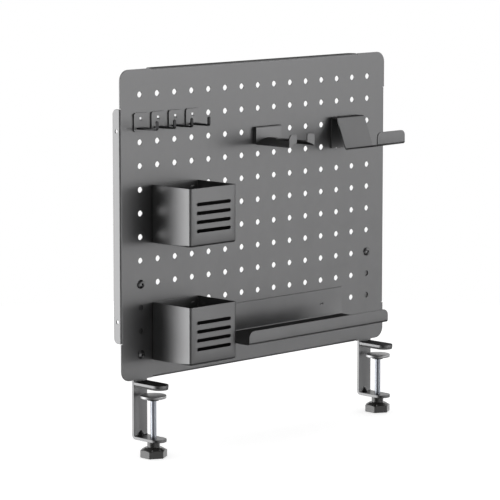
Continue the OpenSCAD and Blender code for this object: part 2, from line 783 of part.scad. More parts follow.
panel();
clamp_bracket(left_x);  // left_clamp_bracket
clamp_bracket(right_x);  // right_clamp_bracket
upper_jaw(left_x);  // left_upper_jaw
upper_jaw(right_x);  // right_upper_jaw
jaw_pad(left_x);  // left_jaw_pad
jaw_pad(right_x);  // right_jaw_pad
spindle(left_x);  // left_spindle
spindle(right_x);  // right_spindle
knob(left_x);  // left_knob
knob(right_x);  // right_knob
swivel_hub(left_x);  // left_swivel_hub
swivel_hub(right_x);  // right_swivel_hub
pressure_pad(left_x);  // left_pressure_pad
pressure_pad(right_x);  // right_pressure_pad
bracket_screws();
bracket_washers();
bracket_nuts();
hook_plate(1);  // hook_plate_1
hook_plate(2);  // hook_plate_2
hook_plate(3);  // hook_plate_3
hook_plate(4);  // hook_plate_4
hook_arm(1);  // hook_arm_1
hook_arm(2);  // hook_arm_2
hook_arm(3);  // hook_arm_3
hook_arm(4);  // hook_arm_4
saddle_bracket();
saddle_arm();
device_rest();
cup(upper_cup_row);  // upper_cup
cup(lower_cup_row);  // lower_cup
tray();
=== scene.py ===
# %% [markdown]
# # A clamp-on desk pegboard
#
# The real object is a folded steel panel, full of round holes, that two clamps hold upright at a
# desk's rear edge. Small folded pieces hang in its holes: four hooks, a saddle for headphones, a
# rest for a phone, two cups and a tray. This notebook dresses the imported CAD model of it. The CAD
# says where everything is, so each step here only makes a surface finer or gives it its finish.

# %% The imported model, and the box it fills
import math

import bmesh
import bpy
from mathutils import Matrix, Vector


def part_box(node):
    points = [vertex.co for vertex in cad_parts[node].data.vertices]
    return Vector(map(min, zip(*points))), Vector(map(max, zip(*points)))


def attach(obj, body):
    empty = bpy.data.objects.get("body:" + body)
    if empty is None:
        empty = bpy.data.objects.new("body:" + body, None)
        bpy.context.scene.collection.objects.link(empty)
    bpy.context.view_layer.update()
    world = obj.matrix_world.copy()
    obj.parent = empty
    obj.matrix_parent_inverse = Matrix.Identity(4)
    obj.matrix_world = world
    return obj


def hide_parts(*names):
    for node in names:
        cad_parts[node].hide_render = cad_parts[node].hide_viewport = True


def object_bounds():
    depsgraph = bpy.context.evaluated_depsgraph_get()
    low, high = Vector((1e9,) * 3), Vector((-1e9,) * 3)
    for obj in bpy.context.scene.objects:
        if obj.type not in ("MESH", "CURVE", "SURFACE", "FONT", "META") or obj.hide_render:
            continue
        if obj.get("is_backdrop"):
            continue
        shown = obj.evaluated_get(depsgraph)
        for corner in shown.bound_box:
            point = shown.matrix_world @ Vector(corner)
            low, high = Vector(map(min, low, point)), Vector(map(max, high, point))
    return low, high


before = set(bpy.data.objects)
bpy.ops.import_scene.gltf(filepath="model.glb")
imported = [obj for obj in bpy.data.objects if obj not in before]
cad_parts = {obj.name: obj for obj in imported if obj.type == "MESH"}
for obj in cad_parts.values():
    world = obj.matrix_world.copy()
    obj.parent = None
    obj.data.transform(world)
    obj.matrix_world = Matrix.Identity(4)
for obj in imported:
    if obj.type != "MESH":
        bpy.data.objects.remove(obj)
cad_lo, cad_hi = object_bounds()
MM = 0.001
print("CAD box in mm", [round(v / MM, 1) for v in (*cad_lo, *cad_hi)])

# %% [markdown]
# ## Small tools
#
# Node trees get long when each node is made by hand. `put` makes one node, sets its options and
# fills its inputs, with a number where one is given and a link where a socket is given. `socket`
# adds a named input or output to a group, so that each tree says what its sizes are called.

# %% Making nodes
def put(tree, kind, inputs=None, **options):
    """Adds a node, sets its options, and fills its inputs by name or number."""
    node = tree.nodes.new(kind)
    for name, value in options.items():
        setattr(node, name, value)
    for key, value in (inputs or {}).items():
        if isinstance(value, bpy.types.NodeSocket):
            tree.links.new(value, node.inputs[key])
        else:
            node.inputs[key].default_value = value
    return node


def socket(tree, name, way, kind, value=None):
    """Adds a named socket to a group's face."""
    made = tree.interface.new_socket(name, in_out=way, socket_type=kind)
    if value is not None:
        made.default_value = value


def calc(tree, operation, *values):
    """One sum, product or other figure, as a socket."""
    inputs = dict(enumerate(values))
    return put(tree, "ShaderNodeMath", inputs, operation=operation).outputs[0]


def show(piece, *nodes, body):
    """A finished piece stands for CAD nodes and rides on their body."""
    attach(piece, body)
    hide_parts(*nodes)


# %% [markdown]
# ## Grain, used by every finish
#
# Powder coat, moulded plastic and rubber all have a fine grain and a slow change of tone. One
# shader group makes both from noise on Object coordinates. A material gives it its own sizes, and
# takes out a height for the bump and a mask for colour and roughness.

# %% The grain group
def grain_group():
    """A fine height and a slow cloudy mask, from noise on Object coordinates."""
    tree = bpy.data.node_groups.new("surface_grain", "ShaderNodeTree")
    for name, value in (("Grain mm", 0.5), ("Cloud mm", 30.0), ("Low", 0.4), ("High", 0.6)):
        socket(tree, name, "INPUT", "NodeSocketFloat", value)
    for name in ("Height", "Cloud"):
        socket(tree, name, "OUTPUT", "NodeSocketFloat")
    given = put(tree, "NodeGroupInput").outputs
    place = put(tree, "ShaderNodeTexCoord").outputs["Object"]
    fine = put(tree, "ShaderNodeTexNoise", {
        "Vector": place, "Scale": calc(tree, "DIVIDE", 1000.0, given["Grain mm"]), "Detail": 3.0})
    slow = put(tree, "ShaderNodeTexNoise", {
        "Vector": place, "Scale": calc(tree, "DIVIDE", 1000.0, given["Cloud mm"]), "Detail": 4.0})
    clouds = put(tree, "ShaderNodeMapRange", {
        "Value": slow.outputs["Fac"], "From Min": given["Low"], "From Max": given["High"]})
    put(tree, "NodeGroupOutput", {
        "Height": fine.outputs["Fac"], "Cloud": clouds.outputs["Result"]})
    return tree


GRAIN = grain_group()
print("grain group has", len(GRAIN.nodes), "nodes")

# %% [markdown]
# ## The finishes
#
# A finish is a Principled BSDF whose colour and roughness move a little with the grain's slow
# mask. Powder coat with metal flake is close to a dull dark metal: it mirrors its surroundings
# softly. The clamp screw is bright drawn steel, the knob black plastic, the jaw pad rubber.

# %% One recipe for all finishes
def finish(name, dark, light, rough, grain, cloud, bump, depth, metallic=0.0, coat=0.0, edge=1.0):
    """A grained finish: its colour and roughness each run between two values. Sizes in mm."""
    material = bpy.data.materials.new(name)
    material.use_nodes = True
    tree = material.node_tree
    tree.nodes.clear()
    group = put(tree, "ShaderNodeGroup", node_tree=GRAIN)
    group.inputs["Grain mm"].default_value = grain
    group.inputs["Cloud mm"].default_value = cloud
    colour = put(tree, "ShaderNodeMix", {
        "Factor": group.outputs["Cloud"], 6: (*dark, 1.0), 7: (*light, 1.0)}, data_type="RGBA")
    roughness = put(tree, "ShaderNodeMapRange", {
        "Value": group.outputs["Cloud"], "To Min": rough[0], "To Max": rough[1]})
    relief = put(tree, "ShaderNodeBump", {
        "Strength": bump, "Distance": depth * MM, "Height": group.outputs["Height"]})
    shader = put(tree, "ShaderNodeBsdfPrincipled", {
        "Base Color": colour.outputs[2], "Roughness": roughness.outputs["Result"],
        "Metallic": metallic, "Normal": relief.outputs["Normal"], "Coat Weight": coat,
        "Specular Tint": (edge, edge, edge, 1.0)})
    put(tree, "ShaderNodeOutputMaterial", {"Surface": shader.outputs["BSDF"]})
    return material


POWDER_COAT = finish("powder_coat", (0.185, 0.185, 0.187), (0.203, 0.203, 0.205), (0.40, 0.44),
                     metallic=1.0, grain=0.7, cloud=45.0, bump=0.2, depth=0.03, edge=0.15)
HOOK_COAT = finish("hook_coat", (0.045, 0.045, 0.046), (0.060, 0.060, 0.062), (0.34, 0.40),
                   metallic=0.9, grain=0.7, cloud=12.0, bump=0.2, depth=0.03, edge=0.3)
# The clamp brackets are in the panel's coat; this darker copy of it is painted shade.
CLAMP_SHADED_COAT = finish("clamp_coat", (0.150, 0.150, 0.152), (0.168, 0.168, 0.170), (0.34, 0.38),
                    metallic=1.0, grain=0.7, cloud=45.0, bump=0.2, depth=0.03)
BRIGHT_STEEL = finish("bright_steel", (0.36, 0.38, 0.42), (0.40, 0.42, 0.46), (0.38, 0.44),
                      metallic=1.0, grain=0.9, cloud=9.0, bump=0.05, depth=0.02)
BLACK_STEEL = finish("black_steel", (0.045, 0.045, 0.047), (0.060, 0.060, 0.063), (0.24, 0.30),
                     metallic=0.8, grain=0.5, cloud=6.0, bump=0.05, depth=0.02, coat=0.5)
SCREW_BLACK = finish("screw_black", (0.15, 0.15, 0.152), (0.17, 0.17, 0.172), (0.28, 0.34),
                     metallic=1.0, grain=0.5, cloud=6.0, bump=0.05, depth=0.02)
BLACK_PLASTIC = finish("black_plastic", (0.026, 0.025, 0.024), (0.038, 0.037, 0.036), (0.26, 0.34),
                       grain=0.6, cloud=12.0, bump=0.2, depth=0.04, coat=0.3)
# A lighter copy of the powder coat for the pressure pads: painted light, for the bright light their
# tops mirror.
PAD_LIT_COAT = finish("pressure_pad_coat", (0.34, 0.34, 0.345), (0.37, 0.37, 0.375), (0.38, 0.44),
                  metallic=1.0, grain=0.7, cloud=10.0, bump=0.1, depth=0.02)
GREY_RUBBER = finish("grey_rubber", (0.14, 0.14, 0.14), (0.19, 0.19, 0.19), (0.70, 0.85),
                     grain=0.8, cloud=8.0, bump=0.5, depth=0.08)
print("finishes:", [m.name for m in (
    POWDER_COAT, HOOK_COAT, CLAMP_SHADED_COAT, BRIGHT_STEEL, BLACK_STEEL, SCREW_BLACK, BLACK_PLASTIC,
    PAD_LIT_COAT, GREY_RUBBER)])

# %% [markdown]
# ## Broken edges
#
# No sheared sheet has a knife edge: the shear rounds it a little, and the coat rounds it more.
# `soft_edged` copies a CAD node, joins its loose triangles, drops the lines that lie in flat
# faces, and rounds what is left sharp with a Bevel modifier, whose result is kept as a plain mesh.

# %% Copying CAD nodes with rounded edges
def settle(piece, material):
    """Turns the evaluated result of a piece's modifiers into its own plain mesh."""
    bpy.context.view_layer.update()
    evaluated = piece.evaluated_get(bpy.context.evaluated_depsgraph_get())
    mesh = bpy.data.meshes.new_from_object(evaluated)
    piece.modifiers.clear()
    piece.data = mesh
    mesh.materials.clear()
    mesh.materials.append(material)


def in_scene(name, mesh):
    """A new object in the scene, at the origin."""
    piece = bpy.data.objects.new(name, mesh)
    bpy.context.scene.collection.objects.link(piece)
    return piece


def round_edges(piece, width, segments=2, angle=38):
    """Adds a bevel, its width in mm, on edges sharper than the angle."""
    bevel = piece.modifiers.new("broken_edge", "BEVEL")
    bevel.width = width * MM
    bevel.segments = segments
    bevel.limit_method = "ANGLE"
    bevel.angle_limit = math.radians(angle)
    bevel.harden_normals = True
    bevel.use_clamp_overlap = False


def soft_edged(name, node, body, material, width, segments=2, angle=38, first=None):
    """A piece that stands for a CAD node, the same but with its sharp edges rounded."""
    bm = bmesh.new()
    bm.from_mesh(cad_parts[node].data)
    bmesh.ops.remove_doubles(bm, verts=bm.verts, dist=0.01 * MM)
    bmesh.ops.dissolve_limit(bm, angle_limit=math.radians(0.4), verts=bm.verts, edges=bm.edges)
    if first:
        first(bm)
    for face in bm.faces:
        face.smooth = True
    mesh = bpy.data.meshes.new(name)
    bm.to_mesh(mesh)
    bm.free()
    stale = mesh.attributes.get("custom_normal")
    if stale:
        mesh.attributes.remove(stale)
    piece = in_scene(name, mesh)
    round_edges(piece, width, segments, angle)
    settle(piece, material)
    print(name, len(piece.data.polygons), "faces")
    show(piece, node, body=body)


# %% [markdown]
# ## The perforated panel
#
# The panel is one sheet with 15 by 12 holes, 6.35 mm wide and 25.4 mm apart, and with a folded
# flange on each side. Its outer sizes are read from the CAD node, so that it fills the same box.

# %% Sizes of the panel, from its CAD node
panel_lo, panel_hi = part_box("panel")
COLUMNS, ROWS, PITCH = 15, 12, 25.4  # the standard peg grid, in mm as all sizes here
HOLE_R, SHEET = 6.35 / 2, 1.2
PANEL_W = (panel_hi.x - panel_lo.x) / MM / 2
PANEL_H = (panel_hi.z - panel_lo.z) / MM / 2
MID_Z = (panel_hi.z + panel_lo.z) / MM / 2
FLANGE = panel_hi.y / MM
FOLD_R, CORNER_R = 2.0, 12.0  # the flanges' folds and the sheet's corners
SIDE_STOP, TOP_STOP = 41.2, 45.9  # how far the flanges stop short of the corners
SIDE_END, TOP_END = PANEL_H - SIDE_STOP, PANEL_W - TOP_STOP
FIELD_W, FIELD_H = COLUMNS * PITCH / 2, ROWS * PITCH / 2
ROUND = 32  # points round one hole
print("panel half sizes", PANEL_W, PANEL_H, "middle", MID_Z, "flange", FLANGE)


# %% [markdown]
# ### The perforated field
#
# Every hole has the same square of sheet round it, so Geometry Nodes make one such cell, from a
# grid whose points are moved to lie between a circle and a square, and set it on a grid of points.
# Cutting 180 holes with booleans would leave long thin faces instead, which shade unevenly. The
# margin and the flanges follow in mesh code, to the same points, and a Solidify modifier gives the
# whole skin the sheet's thickness, as a press shop starts from flat sheet.

# %% The tree that makes the perforated field
RING_BIAS = 1.8  # gathers a cell's rings toward its hole


def field_tree():
    """One cell of sheet round a hole, set on a grid of points and joined."""
    tree = bpy.data.node_groups.new("perforated_field", "GeometryNodeTree")
    socket(tree, "Columns", "INPUT", "NodeSocketInt", COLUMNS)
    socket(tree, "Rows", "INPUT", "NodeSocketInt", ROWS)
    socket(tree, "Pitch", "INPUT", "NodeSocketFloat", PITCH * MM)
    socket(tree, "Hole radius", "INPUT", "NodeSocketFloat", HOLE_R * MM)
    socket(tree, "Coat", "INPUT", "NodeSocketMaterial")
    socket(tree, "Mesh", "OUTPUT", "NodeSocketGeometry")
    given = put(tree, "NodeGroupInput").outputs
    strip = put(tree, "GeometryNodeMeshGrid", {
        "Size X": 1.0, "Size Y": 1.0, "Vertices X": ROUND + 1, "Vertices Y": 4})
    position = put(tree, "GeometryNodeInputPosition").outputs[0]
    spot = put(tree, "ShaderNodeSeparateXYZ", {0: position})
    turn = calc(tree, "MULTIPLY", calc(tree, "ADD", spot.outputs[0], 0.5), 2 * math.pi)
    out = calc(tree, "ADD", spot.outputs[1], 0.5)
    share = calc(tree, "POWER", out, RING_BIAS)
    cos, sin = calc(tree, "COSINE", turn), calc(tree, "SINE", turn)
    reach = calc(tree, "MAXIMUM", calc(tree, "ABSOLUTE", cos), calc(tree, "ABSOLUTE", sin))
    square = calc(tree, "DIVIDE", calc(tree, "DIVIDE", given["Pitch"], 2.0), reach)
    gap = calc(tree, "SUBTRACT", square, given["Hole radius"])
    radius = calc(tree, "ADD", given["Hole radius"], calc(tree, "MULTIPLY", gap, share))
    put_at = put(tree, "ShaderNodeCombineXYZ", {
        "X": calc(tree, "MULTIPLY", cos, radius), "Y": calc(tree, "MULTIPLY", sin, radius)})
    cell = put(tree, "GeometryNodeSetPosition", {
        "Geometry": strip.outputs["Mesh"], "Position": put_at.outputs[0]})
    spread_x = calc(tree, "MULTIPLY", calc(tree, "SUBTRACT", given["Columns"], 1.0), given["Pitch"])
    spread_y = calc(tree, "MULTIPLY", calc(tree, "SUBTRACT", given["Rows"], 1.0), given["Pitch"])
    points = put(tree, "GeometryNodeMeshGrid", {
        "Size X": spread_x, "Size Y": spread_y, "Vertices X": given["Columns"],
        "Vertices Y": given["Rows"]})
    set_out = put(tree, "GeometryNodeInstanceOnPoints", {
        "Points": points.outputs["Mesh"], "Instance": cell.outputs["Geometry"]})
    upright = put(tree, "GeometryNodeTransform", {
        "Geometry": set_out.outputs["Instances"], "Rotation": (math.pi / 2, 0.0, 0.0),
        "Translation": (0.0, 0.0, MID_Z * MM)})
    real = put(tree, "GeometryNodeRealizeInstances", {"Geometry": upright.outputs["Geometry"]})
    joined = put(tree, "GeometryNodeMergeByDistance", {
        "Geometry": real.outputs["Geometry"], "Distance": 0.005 * MM})
    coated = put(tree, "GeometryNodeSetMaterial", {
        "Geometry": joined.outputs["Geometry"], "Material": given["Coat"]})
    put(tree, "NodeGroupOutput", {"Mesh": coated.outputs["Geometry"]})
    return tree


# %% [markdown]
# ### From a tree to a piece
#
# A Geometry Nodes tree only lives in a modifier. `grow` gives it an empty mesh to stand on, sets
# its inputs and keeps what comes out as a plain mesh, which can then ride a body like the others.

# %% Running a tree once and keeping its mesh
def grow(name, tree, **sizes):
    """Runs a Geometry Nodes tree on an empty mesh and keeps the result as a plain mesh."""
    piece = in_scene(name, bpy.data.meshes.new(name))
    modifier = piece.modifiers.new("grow", "NODES")
    modifier.node_group = tree
    for item in tree.interface.items_tree:
        label = item.name.lower().replace(" ", "_")
        if item.in_out == "INPUT" and label in sizes:
            modifier[item.identifier] = sizes[label]
    bpy.context.view_layer.update()
    evaluated = piece.evaluated_get(bpy.context.evaluated_depsgraph_get())
    mesh = bpy.data.meshes.new_from_object(evaluated)
    piece.modifiers.clear()
    piece.data = mesh
    return piece


field = grow("perforated_field", field_tree(), coat=POWDER_COAT)
print("field:", len(field.data.polygons), "faces round", COLUMNS * ROWS, "holes")


# %% [markdown]
# ### Margin and flanges
#
# The margin is four flat faces. Each runs along the field's edge and back along the outline, past
# the small relief slots that let a flange fold without tearing the sheet. A flange is a quarter
# round of radius 2 mm and then a flat strip with rounded corners. The flat strips of the two side
# flanges have two small holes each, cut as two half rounds where three faces meet.

# %% Points along the field's edge and round a corner
RELIEF, RELIEF_IN = 0.6, 0.5  # width and depth of a relief slot


def stops(count, half):
    """The places along one edge of the field where its cells have points."""
    found = set()
    for i in range(count):
        for k in range(-ROUND // 8, ROUND // 8 + 1):
            at = (i - (count - 1) / 2) * PITCH + PITCH / 2 * math.tan(k * 2 * math.pi / ROUND)
            found.add(round(min(max(at, -half), half), 7))
    merged = []
    for at in sorted(found):
        if not merged or at - merged[-1] > 1e-4:
            merged.append(at)
    return merged


def arc(cx, cy, r, start, end, steps):
    """Points on an arc, its angles in degrees."""
    return [(cx + r * math.cos(math.radians(a)), cy + r * math.sin(math.radians(a)))
            for a in (start + (end - start) * i / steps for i in range(steps + 1))]


def outline_side(end, half, reach, fold_stops):
    """Half of the outline of one margin, from the middle of one corner to that of the next."""
    cx, cy = reach - CORNER_R, half - CORNER_R
    up = [(reach - FOLD_R, s) for s in fold_stops if s > 0]
    up += [(reach - FOLD_R - RELIEF_IN, end), (reach - FOLD_R - RELIEF_IN, end + RELIEF),
           (reach, end + RELIEF), *arc(cx, cy, CORNER_R, 0, 45, 4)]
    down = [(x, -y) for x, y in reversed(up)]
    return down + up


# %% [markdown]
# ### Joining margin, flanges and field
#
# All sides have the same recipe, so one function draws a side in its own directions (outward,
# along, back), and `place` turns these into points of the panel. Points that fall together are
# merged, which closes the skin, and then the skin gets its thickness and broken edges.

# %% The margin and flanges in mesh code
FLANGE_HOLE_R, FLANGE_HOLE_Y, FLANGE_HOLE_END = 2.0, FLANGE / 2, 23.5
FLANGE_CORNER_R, FOLD_STEPS = 6.0, 6


def fold_path():
    """The fold's profile: how far it has gone out and back at each step."""
    return [(FOLD_R * math.sin(a) - FOLD_R, FOLD_R - FOLD_R * math.cos(a))
            for a in (math.pi / 2 * i / FOLD_STEPS for i in range(FOLD_STEPS + 1))]


def margin_and_flange(bm, place, half, reach, end, edge_stops, field_reach, holes):
    """One side of the panel. place turns (outward, along, back) into a point of the panel."""
    hole_at = end - FLANGE_HOLE_END
    along = [-end, -hole_at, hole_at, end] if holes else [-end, end]
    rim = outline_side(end, half, reach, along)
    inner = [(field_reach, s) for s in reversed(edge_stops)]
    bm.faces.new([bm.verts.new(place(o, s, 0)) for o, s in rim + inner])
    path = fold_path()
    for (o0, b0), (o1, b1) in zip(path, path[1:]):
        for s0, s1 in zip(along, along[1:]):
            bm.faces.new([bm.verts.new(place(reach + o, s, b)) for o, s, b in (
                (o0, s0, b0), (o1, s0, b1), (o1, s1, b1), (o0, s1, b0))])
    corner = FLANGE - FLANGE_CORNER_R
    low = [(FOLD_R, -end), *arc(corner, -end + FLANGE_CORNER_R, FLANGE_CORNER_R, -90, 0, 8)]
    high = [(b, -s) for b, s in reversed(low)]
    if not holes:
        flats = [low + high]
    else:
        def half_round(at, start, stop):
            return arc(FLANGE_HOLE_Y, at, FLANGE_HOLE_R, start, stop, 10)
        bottom = low + [(FLANGE, -hole_at), *half_round(-hole_at, 0, -180), (FOLD_R, -hole_at)]
        middle = [(FOLD_R, -hole_at), *half_round(-hole_at, 180, 0), (FLANGE, -hole_at),
                  (FLANGE, hole_at), *half_round(hole_at, 0, -180), (FOLD_R, hole_at)]
        top = [(b, -s) for b, s in reversed(bottom)]
        flats = [bottom, middle, top]
    for flat in flats:
        bm.faces.new([bm.verts.new(place(reach, s, b)) for b, s in flat])


def build_panel():
    """Joins the field, four margins and four flanges into one skin."""
    bm = bmesh.new()
    bm.from_mesh(field.data)
    rows, cols = stops(ROWS, FIELD_H), stops(COLUMNS, FIELD_W)
    for side in (1, -1):
        margin_and_flange(
            bm, lambda o, s, b, k=side: Vector((k * o, b, MID_Z + s)) * MM,
            PANEL_H, PANEL_W, SIDE_END, rows, FIELD_W, True)
        margin_and_flange(
            bm, lambda o, s, b, k=side: Vector((s, b, MID_Z + k * o)) * MM,
            PANEL_W, PANEL_H, TOP_END, cols, FIELD_H, False)
    bmesh.ops.remove_doubles(bm, verts=bm.verts, dist=0.01 * MM)
    bmesh.ops.recalc_face_normals(bm, faces=bm.faces)
    front = max(bm.faces, key=lambda f: f.calc_area() if abs(f.normal.y) > 0.9 else 0)
    if front.normal.y > 0:
        bmesh.ops.reverse_faces(bm, faces=bm.faces)
    for face in bm.faces:
        face.smooth = True
    mesh = bpy.data.meshes.new("panel_sheet")
    bm.to_mesh(mesh)
    bm.free()
    return mesh


panel = in_scene("panel_sheet", build_panel())
bpy.data.objects.remove(field)
thick = panel.modifiers.new("sheet_thickness", "SOLIDIFY")
thick.thickness, thick.offset = SHEET * MM, -1
thick.use_even_offset = True
round_edges(panel, 0.22, angle=40)
settle(panel, POWDER_COAT)
show(panel, "panel", body="board")
print("panel sheet:", len(panel.data.polygons), "faces")

# %% [markdown]
# ## Tongue windows and the cups' folds
#
# A tongue is cut and pressed back out of its sheet, which leaves a small window over it. On the
# real pieces hardly any light comes through, so the windows are closed toward their tongues here.
# A cup's outer folds show as dark lines, since a round edge mirrors the dark camera side. Moving
# the CAD's own points keeps the walls and slots as they are, where a new cup would have to repeat
# them all.

# %% Finer than the CAD: tongue windows and the cups' folds
WINDOW_TOP, WINDOW_FOOT, WINDOW_HALF = 1.4, -3.1, 2.4  # the CAD's window, round a hole's middle
NEAR_PANEL = -2.0  # the back sheet of a hung piece lies behind this Y
SAME = 0.03  # two places this close are one


def row_z(row):
    """The height of a row of holes in mm, where row 1 is the top one."""
    return MID_Z + ((ROWS + 1) / 2 - row) * PITCH


def lower_windows(row, drop):
    """The press closes a window down toward its tongue. The CAD leaves it a little taller."""
    def edit(bm):
        top = (row_z(row) + WINDOW_TOP) * MM
        for v in bm.verts:
            if abs(v.co.z - top) < SAME * MM and v.co.y > NEAR_PANEL * MM:
                v.co.z -= drop * MM
    return edit


def narrow_windows(row, half):
    """A hook's window hugs its tongue at the sides, so that a small upright slit is left."""
    def edit(bm):
        for v in bm.verts:
            off = v.co.x / MM - round(v.co.x / MM / PITCH) * PITCH
            in_window = WINDOW_FOOT < v.co.z / MM - row_z(row) < WINDOW_TOP + 0.1
            at_side = abs(abs(off) - WINDOW_HALF) < SAME
            if in_window and at_side and v.co.y > NEAR_PANEL * MM:
                v.co.x -= math.copysign(abs(off) - half, off) * MM
    return edit


CUP_FOLD, SOFTER_FOLD, LOWER_FOLD = 1.7, 3.4, 2.8  # the CAD's radius, and the two drawn here


def soften_front_folds(bm):
    """Sets the two upright front folds of a cup to a larger radius, at the same sheet thickness."""
    left, right = (pick(v.co.x for v in bm.verts) / MM for pick in (min, max))
    front = min(v.co.y for v in bm.verts) / MM
    for v in bm.verts:
        for side, inward in ((left, 1), (right, -1)):
            across, back = (v.co.x / MM - side) * inward, v.co.y / MM - front
            if max(across, back) < CUP_FOLD + 0.02:
                spoke = Vector((CUP_FOLD - across, CUP_FOLD - back))
                spoke *= (spoke.length + SOFTER_FOLD - CUP_FOLD) / spoke.length
                v.co.x = (side + inward * (SOFTER_FOLD - spoke.x)) * MM
                v.co.y = (front + SOFTER_FOLD - spoke.y) * MM


def cup_edges(row, drop):
    """Lowers a cup's windows, softens its front folds and rounds its outer lower edge."""
    close = lower_windows(row, drop)

    def edit(bm):
        close(bm)
        soften_front_folds(bm)
        bm.normal_update()
        floor = min(v.co.z for v in bm.verts)
        rim = [e for e in bm.edges if all(abs(v.co.z - floor) < 0.01 * MM for v in e.verts)
               and any(abs(f.normal.z) < 0.1 for f in e.link_faces)
               and all(v.co.y < NEAR_PANEL * MM for v in e.verts)]
        print("rounding", len(rim), "lower edges of a cup")
        bmesh.ops.bevel(bm, geom=rim, offset=LOWER_FOLD * MM, segments=5, profile=0.5,
                        affect="EDGES", clamp_overlap=True)
    return edit


# %% [markdown]
# ## The folded pieces
#
# Brackets, jaws, hooks, saddle, rest, cups and tray are sheared and folded steel in the same coat.
# Their CAD solids already have the bends, so their copies only need broken edges, and thick strip
# is given a rounder edge than thin sheet.

# %% Sheet pieces on the board and hung on it
HOOK_ROW, SADDLE_ROW, REST_ROW, UPPER_CUP_ROW, LOWER_CUP_ROW, TRAY_ROW = 2, 3, 3, 5, 10, 11
CUP_DROP, SADDLE_DROP, REST_DROP, TRAY_DROP, HOOK_SLIT = 2.6, 1.8, 2.4, 2.1, 1.65

for side in ("left", "right"):
    for name, node, material in (("_clamp_strip", "_clamp_bracket", CLAMP_SHADED_COAT),
                                 ("_clamp_jaw", "_upper_jaw", POWDER_COAT),
                                 ("_jaw_cushion", "_jaw_pad", GREY_RUBBER)):
        soft_edged(side + name, side + node, "board", material, 0.35)
for number in range(1, 5):
    body = f"hook_{number}"
    soft_edged(f"hook_back_{number}", f"hook_plate_{number}", body, POWDER_COAT, 0.22,
               first=narrow_windows(HOOK_ROW, HOOK_SLIT))
    soft_edged(f"hook_prong_{number}", f"hook_arm_{number}", body, HOOK_COAT, 0.3)
for name, node, body, width, first in (
        ("saddle_back", "saddle_bracket", "saddle", 0.22, lower_windows(SADDLE_ROW, SADDLE_DROP)),
        ("saddle_shelf", "saddle_arm", "saddle", 0.25, None),
        ("phone_rest", "device_rest", "rest", 0.25, lower_windows(REST_ROW, REST_DROP)),
        ("cup_above", "upper_cup", "upper_cup", 0.22, cup_edges(UPPER_CUP_ROW, CUP_DROP)),
        ("cup_below", "lower_cup", "lower_cup", 0.22, cup_edges(LOWER_CUP_ROW, CUP_DROP)),
        ("pen_tray", "tray", "tray", 0.25, lower_windows(TRAY_ROW, TRAY_DROP))):
    soft_edged(name, node, body, POWDER_COAT, width, first=first)

# %% [markdown]
# ## The clamp screws
#
# Each clamp has a screw with a six-sided plastic knob below and a swivelling pressure pad above.
# The rod's thread follows a rule, so a tree makes it: a spiral of a trapezoid profile round a
# plain core. The crest is broad and flat, as on a clamp thread, so the rod still mirrors streaks.

# %% The threaded rod's tree
ROD_R, THREAD_DEPTH, THREAD_PITCH, PLAIN_END = 6.35 / 2, 0.12, 1.27, 3.0
CREST_FOOT, CREST_TOP = 0.86, 0.62  # the ridge's widths, as shares of the pitch


def rod_tree():
    """A plain core with a spiral ridge on it."""
    tree = bpy.data.node_groups.new("threaded_rod", "GeometryNodeTree")
    for name, size in (("Radius", ROD_R), ("Depth", THREAD_DEPTH), ("Pitch", THREAD_PITCH),
                       ("Length", 64.0), ("Plain end", PLAIN_END)):
        socket(tree, name, "INPUT", "NodeSocketFloat", size * MM)
    socket(tree, "Steel", "INPUT", "NodeSocketMaterial")
    socket(tree, "Place", "INPUT", "NodeSocketVector")
    socket(tree, "Mesh", "OUTPUT", "NodeSocketGeometry")
    given = put(tree, "NodeGroupInput").outputs
    root = calc(tree, "SUBTRACT", given["Radius"], given["Depth"])
    core = put(tree, "GeometryNodeMeshCylinder", {
        "Vertices": 40, "Radius": root, "Depth": given["Length"]}).outputs["Mesh"]
    cut_length = calc(tree, "SUBTRACT", given["Length"],
                      calc(tree, "MULTIPLY", given["Plain end"], 2.0))
    spiral = put(tree, "GeometryNodeCurveSpiral", {
        "Resolution": 28, "Rotations": calc(tree, "DIVIDE", cut_length, given["Pitch"]),
        "Start Radius": root, "End Radius": root, "Height": cut_length}).outputs["Curve"]
    lifted = put(tree, "GeometryNodeTransform", {
        "Geometry": spiral, "Translation": put(tree, "ShaderNodeCombineXYZ", {
            "Z": calc(tree, "DIVIDE", cut_length, -2.0)}).outputs[0]}).outputs["Geometry"]
    steady = put(tree, "GeometryNodeSetCurveNormal", {"Curve": lifted}, mode="Z_UP")
    crest = put(tree, "GeometryNodeCurvePrimitiveQuadrilateral", {
        "Bottom Width": calc(tree, "MULTIPLY", given["Pitch"], CREST_FOOT),
        "Top Width": calc(tree, "MULTIPLY", given["Pitch"], CREST_TOP),
        "Height": calc(tree, "MULTIPLY", given["Depth"], 2.0), "Offset": 0.0}, mode="TRAPEZOID")
    turned = put(tree, "GeometryNodeTransform", {
        "Geometry": crest.outputs["Curve"], "Rotation": (0.0, 0.0, math.pi / 2)})
    ridge = put(tree, "GeometryNodeCurveToMesh", {
        "Curve": steady.outputs["Curve"], "Profile Curve": turned.outputs["Geometry"],
        "Fill Caps": True}).outputs["Mesh"]
    both = put(tree, "GeometryNodeJoinGeometry")
    for mesh in (core, ridge):
        tree.links.new(mesh, both.inputs[0])
    placed = put(tree, "GeometryNodeTransform", {
        "Geometry": both.outputs[0], "Translation": given["Place"]}).outputs["Geometry"]
    real = put(tree, "GeometryNodeRealizeInstances", {"Geometry": placed}).outputs["Geometry"]
    steel = put(tree, "GeometryNodeSetMaterial", {
        "Geometry": real, "Material": given["Steel"]}).outputs["Geometry"]
    put(tree, "NodeGroupOutput", {"Mesh": steel})
    return tree


